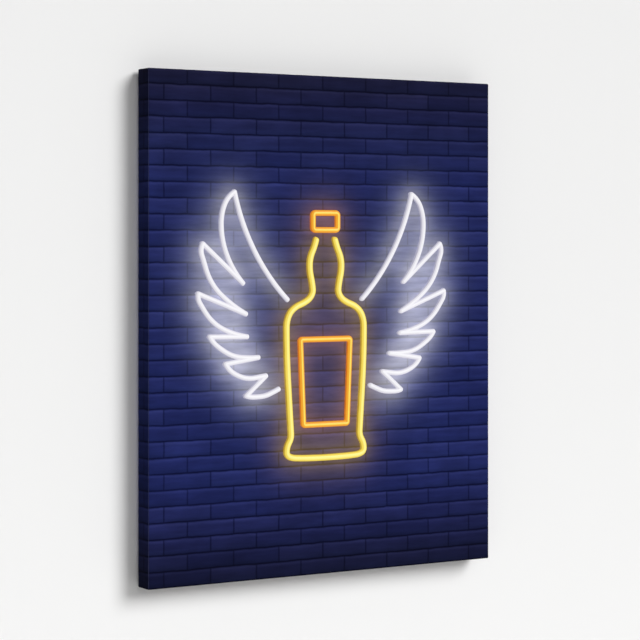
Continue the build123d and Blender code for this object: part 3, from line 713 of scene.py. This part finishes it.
def printedCanvas():
    made, tree = newMaterial("printedCottonCanvas")
    halfX, halfY = cloth["width"] / 2, cloth["height"] / 2
    darkStart, darkEnd = printed["darkens"]
    backStarts = picture["face"] + cloth["depth"] - printed["creaseShadeStart"]
    flat = addNode(tree, "ShaderNodeUVMap", uv_map="clothMap")
    drift = addNode(
        tree, "ShaderNodeTexNoise", {"Vector": flat.outputs[0], "Scale": 46.0, "Detail": 3.0}
    )
    centred = vectorNode(tree, "SUBTRACT", drift.outputs["Color"], (0.5, 0.5, 0.5))
    small = vectorNode(tree, "MULTIPLY", centred.outputs[0], printed["wander"])
    start = (printed["brickStart"], -printed["courseStart"], 0)
    moved = vectorNode(tree, "ADD", flat.outputs[0], start)
    uneven = vectorNode(tree, "ADD", moved.outputs[0], small.outputs[0])
    bricks = addNode(
        tree,
        "ShaderNodeTexBrick",
        {
            "Vector": uneven.outputs[0],
            "Color1": (1.0, 1.0, 1.0, 1),
            "Color2": (0.7, 0.74, 0.82, 1),
            "Mortar": (0.33, 0.36, 0.44, 1),
            "Scale": 1.0,
            "Mortar Size": printed["mortar"],
            "Mortar Smooth": 1.0,
            "Bias": -0.1,
            "Brick Width": printed["brickWidth"],
            "Row Height": printed["courseHeight"],
        },
    )
    parts = addNode(tree, "ShaderNodeSeparateXYZ", {0: uneven.outputs[0]})
    courses = mathNode(tree, "DIVIDE", parts.outputs["Y"], printed["courseHeight"])
    rise = mathNode(tree, "FRACT", courses.outputs[0])
    tone = addNode(
        tree,
        "ShaderNodeValToRGB",
        {"Fac": rise.outputs[0]},
        stops=[
            (0.0, "#181e4b"),
            (0.1, "#1c2452"),
            (0.25, "#20285a"),
            (0.5, "#21285b"),
            (0.71, "#22295c"),
            (0.8, "#272e63"),
            (0.87, "#2c336a"),
            (0.94, "#232a5c"),
            (1.0, "#181e49"),
        ],
    )
    streakPlace = vectorNode(tree, "MULTIPLY", flat.outputs[0], printed["streaks"])
    streak = addNode(
        tree,
        "ShaderNodeTexNoise",
        {"Vector": streakPlace.outputs[0], "Scale": 1.0, "Detail": 5.0, "Roughness": 0.62},
    )
    blotch = addNode(
        tree,
        "ShaderNodeTexNoise",
        {"Vector": flat.outputs[0], "Scale": 17.0, "Detail": 2.0},
    )
    streakTone = remap(tree, streak.outputs["Fac"], (0.3, 0.7), (0.88, 1.27))
    blotchTone = remap(tree, blotch.outputs["Fac"], (0.3, 0.7), (0.88, 1.1))
    uneasy = mathNode(tree, "MULTIPLY", streakTone.outputs[0], blotchTone.outputs[0])
    where = addNode(tree, "ShaderNodeSeparateXYZ", {0: flat.outputs[0]})
    height = mathNode(tree, "DIVIDE", where.outputs["Y"], cloth["height"])
    # the print darkens towards the lower and upper edges
    shade = addNode(
        tree,
        "ShaderNodeValToRGB",
        {"Fac": height.outputs[0]},
        stops=[
            (0.0, (0.44, 0.36, 0.27)),
            (0.046, (0.57, 0.49, 0.41)),
            (0.11, (0.78, 0.71, 0.68)),
            (0.2, (1.0, 1.0, 1.0)),
            (0.78, (1.0, 0.98, 0.96)),
            (0.87, (0.87, 0.8, 0.7)),
            (0.94, (0.74, 0.6, 0.5)),
            (0.985, (0.68, 0.52, 0.36)),
            (1.0, (0.66, 0.5, 0.33)),
        ],
    )
    wall = blend(tree, "MULTIPLY", 1.0, tone.outputs["Color"], bricks.outputs["Color"])
    wallShaded = blend(tree, "MULTIPLY", 1.0, wall.outputs[2], shade.outputs["Color"])
    # painted light: the tubes' glow added to the print's colour
    paintedHalo = addNode(tree, "ShaderNodeAttribute", attribute_name="glow")
    relief = remap(tree, bricks.outputs["Fac"], (0.0, 1.0), (1.0, 0.86))
    paintedHaloRelief = vectorNode(tree, "MULTIPLY", paintedHalo.outputs["Color"], relief.outputs[0])
    lit = blend(tree, "ADD", 1.0, wallShaded.outputs[2], paintedHaloRelief.outputs[0])
    inked = vectorNode(tree, "MULTIPLY", lit.outputs[2], uneasy.outputs[0])
    # a pale line along the turned front edges: ink rubbed thin, and a painted highlight where the
    # edge catches the light
    fromEdgeX = mathNode(tree, "ABSOLUTE", where.outputs["X"])
    rubHighlightAt = halfX - printed["rubHighlightInside"]
    rubHighlightX = mathNode(tree, "COMPARE", fromEdgeX.outputs[0], rubHighlightAt, printed["rubHighlightReach"])
    rubHighlightTone = mathNode(tree, "MULTIPLY", rubHighlightX.outputs[0], streak.outputs["Fac"])
    # painted shade: the wrapped sides are darker than the face, for the shade they stand in
    pastX = (halfX + darkStart, halfX + darkEnd)
    outX = remap(tree, fromEdgeX.outputs[0], pastX, (1.0, printed["sidePaintedShade"]))
    fromMiddle = mathNode(tree, "SUBTRACT", where.outputs["Y"], halfY)
    fromEdgeY = mathNode(tree, "ABSOLUTE", fromMiddle.outputs[0])
    pastY = (halfY + darkStart, halfY + darkEnd)
    outY = remap(tree, fromEdgeY.outputs[0], pastY, (1.0, printed["endPaintedShade"]))
    wrapPaintedShade = mathNode(tree, "MINIMUM", outX.outputs[0], outY.outputs[0])
    wrapped = vectorNode(tree, "MULTIPLY", inked.outputs[0], wrapPaintedShade.outputs[0])
    rubbedAndHighlit = blend(tree, "MIX", rubHighlightTone.outputs[0], wrapped.outputs[0], colour("#3c3f5c"))
    # the last of the fold is bare cotton, and a crease runs out of each back corner, drawn as a
    # dark line of painted shade
    inkX = (printed["bareX"], printed["bareX"] + printed["inkFades"])
    bareX = remap(tree, fromEdgeX.outputs[0], inkX, (0.0, 1.0))
    inkY = (printed["bareY"], printed["bareY"] + printed["inkFades"])
    bareY = remap(tree, fromEdgeY.outputs[0], inkY, (0.0, 1.0))
    bare = mathNode(tree, "MAXIMUM", bareX.outputs[0], bareY.outputs[0])
    cotton = addNode(
        tree,
        "ShaderNodeValToRGB",
        {"Fac": streak.outputs["Fac"]},
        stops=[(0.3, "#c9c0aa"), (0.7, "#dcd5c3")],
    )
    unprinted = blend(tree, "MIX", bare.outputs[0], rubbedAndHighlit.outputs[2], cotton.outputs["Color"])
    spot = addNode(tree, "ShaderNodeTexCoord")
    middleZ = halfY - picture["hooks"]
    spotParts = addNode(tree, "ShaderNodeSeparateXYZ", {0: spot.outputs["Object"]})
    spotX = mathNode(tree, "ABSOLUTE", spotParts.outputs["X"])
    spotUp = mathNode(tree, "SUBTRACT", spotParts.outputs["Z"], middleZ)
    spotZ = mathNode(tree, "ABSOLUTE", spotUp.outputs[0])
    slant = mathNode(tree, "SUBTRACT", spotZ.outputs[0], spotX.outputs[0])
    onCreaseShade = mathNode(tree, "COMPARE", slant.outputs[0], halfY - halfX, printed["creaseShadeReach"])
    atBack = mathNode(tree, "GREATER_THAN", spotParts.outputs["Y"], backStarts)
    creaseShade = mathNode(tree, "MULTIPLY", onCreaseShade.outputs[0], atBack.outputs[0])
    # painted shade in the creases
    clothTone = blend(tree, "MIX", creaseShade.outputs[0], unprinted.outputs[2], colour("#0d0f1f"))
    # two sets of threads, warp and weft
    warp = bands(tree, flat.outputs[0], printed["weave"], "X", Distortion=0.6, Detail=1.0)
    weft = bands(tree, flat.outputs[0], printed["weave"], "Y", Distortion=0.6, Detail=1.0)
    weave = mathNode(tree, "MAXIMUM", warp.outputs["Fac"], weft.outputs["Fac"])
    bump = addNode(
        tree,
        "ShaderNodeBump",
        {"Height": weave.outputs[0], "Strength": 0.35, "Distance": 0.0002},
    )
    matt = remap(tree, weave.outputs[0], (0.0, 1.0), (0.86, 0.74))
    finishMaterial(
        tree,
        {
            "Base Color": clothTone.outputs[2],
            "Roughness": matt.outputs[0],
            "IOR": 1.45,
            "Specular IOR Level": 0.03,
        },
        bump,
    )
    return made


canvas = place(clothMesh(), "canvas", printedCanvas())
solid = canvas.modifiers.new("cloth", "SOLIDIFY")
solid.thickness = cloth["thick"]
solid.offset = -1
solid.use_even_offset = True
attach(canvas, "sign_panel")
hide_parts("canvas_wrap")
print("cloth made,", len(canvas.data.polygons), "faces")


# planed softwood: it gives the eye a pale ground with reddish late-wood lines that run along the
# bar and waver, and a slight sheen where the plane has burnished it
def planedWood(name, along, pale, dark, ringWidth):
    made, tree = newMaterial(name)
    at = addNode(tree, "ShaderNodeTexCoord")
    stretch = {"X": (0.09, 1, 1), "Z": (1, 1, 0.09)}[along]
    run = vectorNode(tree, "MULTIPLY", at.outputs["Object"], stretch)
    bent = addNode(
        tree, "ShaderNodeTexNoise", {"Vector": run.outputs[0], "Scale": 14.0, "Detail": 2.0}
    )
    bentBy = addNode(
        tree, "ShaderNodeVectorMath", {0: bent.outputs["Color"], "Scale": 0.03}, operation="SCALE"
    )
    grainAt = vectorNode(tree, "ADD", run.outputs[0], bentBy.outputs[0])
    rings = bands(tree, grainAt.outputs[0], ringWidth, "DIAGONAL", Distortion=2.2, Detail=3.0)
    pores = addNode(
        tree,
        "ShaderNodeTexNoise",
        {"Vector": run.outputs[0], "Scale": 900.0, "Detail": 4.0, "Roughness": 0.7},
    )
    mixed = mathNode(tree, "MULTIPLY_ADD", pores.outputs["Fac"], 0.35, rings.outputs["Fac"])
    tint = addNode(
        tree,
        "ShaderNodeValToRGB",
        {"Fac": mixed.outputs[0]},
        stops=[(0.15, pale), (0.7, pale), (1.0, dark)],
    )
    bump = addNode(
        tree, "ShaderNodeBump", {"Height": mixed.outputs[0], "Strength": 0.3, "Distance": 0.0003}
    )
    sheen = remap(tree, mixed.outputs[0], (0.0, 1.0), (0.62, 0.5))
    finishMaterial(
        tree,
        {
            "Base Color": tint.outputs["Color"],
            "Roughness": sheen.outputs[0],
            "IOR": 1.5,
            "Specular IOR Level": 0.35,
        },
        bump,
    )
    return made


# kiln-dried pine: honey-pale, with lines a few millimetres apart
pineAcross = planedWood("planedPineAcross", "X", "#dcba8b", "#bd8d59", 0.003)
pineUpright = planedWood("planedPineUpright", "Z", "#dab787", "#b98a56", 0.003)
# sawn beech: pinker and much finer than the pine
beech = planedWood("sawnBeech", "X", "#c9996a", "#a8764a", 0.0016)
dress(pineAcross, "top_bar", "bottom_bar", "cross_brace")
dress(pineUpright, "left_bar", "right_bar")
dress(beech, "corner_keys")


# hardboard, wet-pressed with its screen side towards the wall: it gives the eye a mottled brown
# felt of fibres with the faint mesh of the screen pressed into it
def hardboard():
    made, tree = newMaterial("pressedHardboard")
    at = addNode(tree, "ShaderNodeTexCoord")
    fibre = addNode(
        tree,
        "ShaderNodeTexNoise",
        {
            "Vector": at.outputs["Object"],
            "Scale": 420.0,
            "Detail": 6.0,
            "Roughness": 0.72,
            "Distortion": 0.8,
        },
    )
    patch = addNode(
        tree, "ShaderNodeTexNoise", {"Vector": at.outputs["Object"], "Scale": 9.0, "Detail": 3.0}
    )
    # the mark of the wire screen, 3 mm mesh
    screenX = bands(tree, at.outputs["Object"], 0.003, "X")
    screenZ = bands(tree, at.outputs["Object"], 0.003, "Z")
    screen = mathNode(tree, "MULTIPLY", screenX.outputs["Fac"], screenZ.outputs["Fac"])
    both = mathNode(tree, "MULTIPLY_ADD", patch.outputs["Fac"], 0.55, fibre.outputs["Fac"])
    tint = addNode(
        tree,
        "ShaderNodeValToRGB",
        {"Fac": both.outputs[0]},
        stops=[(0.5, "#5c3f27"), (0.75, "#7d5a3a"), (1.0, "#9b7650")],
    )
    deep = mathNode(tree, "MULTIPLY_ADD", screen.outputs[0], 0.6, fibre.outputs["Fac"])
    bump = addNode(
        tree, "ShaderNodeBump", {"Height": deep.outputs[0], "Strength": 0.6, "Distance": 0.0005}
    )
    rough = remap(tree, fibre.outputs["Fac"], (0.0, 1.0), (0.7, 0.9))
    finishMaterial(
        tree,
        {
            "Base Color": tint.outputs["Color"],
            "Roughness": rough.outputs[0],
            "IOR": 1.5,
            "Specular IOR Level": 0.3,
        },
        bump,
    )
    return made


dress(hardboard(), "backer_board")
print("wood and board done")


# plated or drawn metal: it gives the eye a clear reflection broken by fine scratches, with duller
# patches where the plating has been handled
def platedMetal(name, bright, dull, smooth, rough, stretch):
    made, tree = newMaterial(name)
    at = addNode(tree, "ShaderNodeTexCoord")
    run = vectorNode(tree, "MULTIPLY", at.outputs["Object"], stretch)
    scratch = addNode(
        tree,
        "ShaderNodeTexNoise",
        {"Vector": run.outputs[0], "Scale": 1.0, "Detail": 4.0, "Roughness": 0.7},
    )
    patch = addNode(
        tree, "ShaderNodeTexNoise", {"Vector": at.outputs["Object"], "Scale": 260.0, "Detail": 3.0}
    )
    both = mathNode(tree, "MULTIPLY", scratch.outputs["Fac"], patch.outputs["Fac"])
    tint = addNode(
        tree,
        "ShaderNodeValToRGB",
        {"Fac": both.outputs[0]},
        stops=[(0.12, dull), (0.38, bright)],
    )
    shine = remap(tree, both.outputs[0], (0.1, 0.4), (rough, smooth))
    bump = addNode(
        tree,
        "ShaderNodeBump",
        {"Height": scratch.outputs["Fac"], "Strength": 0.15, "Distance": 0.0001},
    )
    finishMaterial(
        tree,
        {"Base Color": tint.outputs["Color"], "Metallic": 1.0, "Roughness": shine.outputs[0]},
        bump,
    )
    return made


# pressed strip steel, zinc plated: warm grey, streaked along the strip
hangerSteel = platedMetal("zincPlatedSteel", "#d4d0c4", "#a29f94", 0.24, 0.45, (300, 300, 2600))
# galvanised flat wire: cool grey and a little chalky
stapleWire = platedMetal("galvanisedWire", "#c9cbd0", "#8d9096", 0.28, 0.5, (900, 900, 900))
# bright zinc screws: small hard glints on the lid and circuit board
zincScrew = platedMetal("zincPlatedScrew", "#cfd1d6", "#9a9da4", 0.22, 0.4, (700, 700, 700))
# brass-plated wood screws: straw yellow against the grey strap
brassScrew = platedMetal("brassPlatedScrew", "#dcbf79", "#a98a4a", 0.24, 0.45, (700, 700, 700))
# nickel-plated nuts: the smoothest metal here, slightly yellow
nickelNut = platedMetal("nickelPlatedBrass", "#d6d2c8", "#aaa598", 0.16, 0.32, (700, 700, 700))
# turned brass contact: a yellow gleam down in the socket
contactBrass = platedMetal("turnedBrass", "#e2c88a", "#b99d5c", 0.18, 0.34, (700, 700, 700))
dress(hangerSteel, "left_hanger_strap", "right_hanger_strap", "left_ring", "right_ring")
dress(hangerSteel, "dimmer_body")
dress(stapleWire, "canvas_staples")
dress(zincScrew, "lid_screws", "circuit_screws")
dress(brassScrew, "hanger_screws")
dress(nickelNut, "inlet_nut", "dimmer_nut")
dress(contactBrass, "inlet_pin")
print("metal done")


# moulded or extruded plastic and rubber: it gives the eye the fine texture of its mould, which
# breaks up the highlight, and faint mottling of the colour
def mouldedPlastic(name, main, second, roughLow, roughHigh, grain, depth, ior=1.5, level=0.5):
    made, tree = newMaterial(name)
    at = addNode(tree, "ShaderNodeTexCoord")
    mottle = addNode(
        tree, "ShaderNodeTexNoise", {"Vector": at.outputs["Object"], "Scale": 70.0, "Detail": 4.0}
    )
    texture = addNode(
        tree,
        "ShaderNodeTexNoise",
        {"Vector": at.outputs["Object"], "Scale": grain, "Detail": 3.0, "Roughness": 0.65},
    )
    tint = addNode(
        tree,
        "ShaderNodeValToRGB",
        {"Fac": mottle.outputs["Fac"]},
        stops=[(0.32, main), (0.68, second)],
    )
    rough = remap(tree, texture.outputs["Fac"], (0.3, 0.7), (roughLow, roughHigh))
    bump = addNode(
        tree,
        "ShaderNodeBump",
        {"Height": texture.outputs["Fac"], "Strength": 0.4, "Distance": depth},
    )
    finishMaterial(
        tree,
        {
            "Base Color": tint.outputs["Color"],
            "Roughness": rough.outputs[0],
            "IOR": ior,
            "Specular IOR Level": level,
        },
        bump,
    )
    return made


# spark-eroded mould: charcoal with a leathery grain and no clear highlight
blackAbs = mouldedPlastic("sparkErodedAbs", "#1c1d20", "#26272a", 0.5, 0.68, 1400.0, 0.0002)
# finer grain, so that the fluted rim catches soft streaks
knobAbs = mouldedPlastic("knobAbs", "#232427", "#2c2d30", 0.38, 0.52, 1600.0, 0.0001)
# polished mould: near black with sharp edges of light
glossNylon = mouldedPlastic("polishedNylon", "#131315", "#1a1a1d", 0.16, 0.26, 900.0, 0.00004)
# a little duller, from fingers
rockerNylon = mouldedPlastic("rockerNylon", "#18181a", "#202023", 0.2, 0.32, 900.0, 0.00005)
# uncoloured nylon: milky cream, waxy
naturalNylon = mouldedPlastic("naturalNylon", "#d9d5c6", "#e6e2d5", 0.36, 0.5, 800.0, 0.00008)
# soft rubber: dusty black, almost no highlight
blackRubber = mouldedPlastic(
    "mouldedRubber", "#1b1b1c", "#252526", 0.62, 0.8, 1100.0, 0.00015, ior=1.52, level=0.35
)
# foamed feet: greyer
bumperRubber = mouldedPlastic(
    "bumperRubber", "#2b2b2d", "#353537", 0.6, 0.78, 900.0, 0.00018, ior=1.52, level=0.35
)
# extruded sheath: satin black with one long highlight
leadPvc = mouldedPlastic("extrudedPvc", "#17171a", "#202024", 0.34, 0.46, 700.0, 0.00006, 1.53)
# lacquer over glass fibre: glossy deep green
greenResist = mouldedPlastic("solderResist", "#0e5a2c", "#12693a", 0.24, 0.34, 500.0, 0.00006)
# cast resin: black with a faint blue cast
blackEpoxy = mouldedPlastic("mouldedEpoxy", "#18181b", "#26262b", 0.3, 0.5, 900.0, 0.00008)
# dyed polyamide: mid green, satin
greenPolyamide = mouldedPlastic("greenPolyamide", "#2f8a4a", "#3a9a56", 0.34, 0.46, 900.0, 0.00008)
# foam: off-white, matt, visibly pitted
foamTape = mouldedPlastic("closedCellFoam", "#d3d2cb", "#e2e1da", 0.8, 0.92, 1900.0, 0.0004)
# white solder mask on film: chalky white
whiteCircuit = mouldedPlastic("whiteFlexCircuit", "#e4e3dc", "#efeee8", 0.4, 0.55, 600.0, 0.00006)
dress(blackAbs, "control_base", "control_lid")
dress(knobAbs, "dimmer_knob")
dress(glossNylon, "switch_body", "dc_inlet")
dress(rockerNylon, "switch_rocker")
dress(naturalNylon, "lead_clips")
dress(blackRubber, "feed_grommets", "lead_gland")
dress(bumperRubber, "wall_bumpers")
dress(leadPvc, "left_wing_lead", "right_wing_lead", "bottle_lead", "label_lead", "cap_lead")
dress(greenResist, "circuit_board")
dress(blackEpoxy, "circuit_parts")
dress(greenPolyamide, "terminal_block")
dress(foamTape, "box_tape")
dress(
    whiteCircuit,
    "left_wing_led_strip",
    "right_wing_led_strip",
    "bottle_led_strip",
    "cap_led_strip",
    "label_led_strip",
)
print("plastics done")


stage = {
    "wallTone": "#f4f4f4",
    "floorTone": "#efeeec",
    "floor": -1.35,
    "wide": 4.5,
    "sky": 0.165,
    "key": 2.45,
    "keyAhead": (-0.62, 1.0, -0.62),  # falls from the right and from above
    "keyAngle": 32.0,
    "fill": 0.29,
    "fillAhead": (0.12, 1.0, -0.45),
    "fillAngle": 40.0,
    "rear": 70.0,  # lights the back of the sign
    "rearPlace": (0.5, 2.8, 0.8),
    "rearAhead": (-0.5, -2.8, -1.1),
    "rearSize": 2.0,
    "wallAt": 0.0006,  # a hair behind the bumpers
}


# rolled emulsion paint on plaster: it gives the eye a soft matt white with a barely raised stipple;
# the wall is seen from its front only, so that it doesn't hide the sign from behind
def plaster(name, tone, oneSided):
    made, tree = newMaterial(name)
    at = addNode(tree, "ShaderNodeTexCoord")
    roller = addNode(
        tree, "ShaderNodeTexNoise", {"Vector": at.outputs["Object"], "Scale": 120.0, "Detail": 4.0}
    )
    bump = addNode(
        tree,
        "ShaderNodeBump",
        {"Height": roller.outputs["Fac"], "Strength": 0.05, "Distance": 0.0005},
    )
    paint = addNode(
        tree,
        "ShaderNodeBsdfPrincipled",
        {
            "Base Color": colour(tone),
            "Roughness": 0.9,
            "Specular IOR Level": 0.1,
            "Normal": bump.outputs[0],
        },
    )
    surface = paint.outputs[0]
    if oneSided:
        side = addNode(tree, "ShaderNodeNewGeometry")
        clear = addNode(tree, "ShaderNodeBsdfTransparent")
        mixed = addNode(
            tree,
            "ShaderNodeMixShader",
            {0: side.outputs["Backfacing"], 1: surface, 2: clear.outputs[0]},
        )
        surface = mixed.outputs[0]
    addNode(tree, "ShaderNodeOutputMaterial", {"Surface": surface})
    return made


def panel(name, corners, material):
    mesh = bpy.data.meshes.new(name)
    mesh.from_pydata(corners, [], [(0, 1, 2, 3)])
    return place(mesh, name, material)


wide, low, back = stage["wide"], stage["floor"], stage["wallAt"]
wall = panel(
    "wall",
    [(-wide, back, low), (wide, back, low), (wide, back, wide), (-wide, back, wide)],
    plaster("paintedPlaster", stage["wallTone"], True),
)
floor = panel(
    "floor",
    [(-wide, -wide, low), (wide, -wide, low), (wide, wide, low), (-wide, wide, low)],
    plaster("paintedFloor", stage["floorTone"], False),
)
wall.visible_shadow = False
wall.visible_diffuse = False
wall.visible_glossy = False

sky = bpy.data.worlds.new("softLight")
sky.use_nodes = True
sky.node_tree.nodes["Background"].inputs["Color"].default_value = (1, 1, 1, 1)
sky.node_tree.nodes["Background"].inputs["Strength"].default_value = stage["sky"]
bpy.context.scene.world = sky


def lamp(name, kind, power, spot, ahead):
    lampData = bpy.data.lights.new(name, kind)
    lampData.energy = power
    made = bpy.data.objects.new(name, lampData)
    made.location = spot
    made.rotation_euler = Vector(ahead).to_track_quat("-Z", "Y").to_euler()
    bpy.context.scene.collection.objects.link(made)
    return lampData


key = lamp("key", "SUN", stage["key"], (2, -3, 1), stage["keyAhead"])
key.angle = math.radians(stage["keyAngle"])
fill = lamp("fill", "SUN", stage["fill"], (0, -3, 1), stage["fillAhead"])
fill.angle = math.radians(stage["fillAngle"])
rear = lamp("rear", "AREA", stage["rear"], stage["rearPlace"], stage["rearAhead"])
rear.size = stage["rearSize"]
print("stage lit")
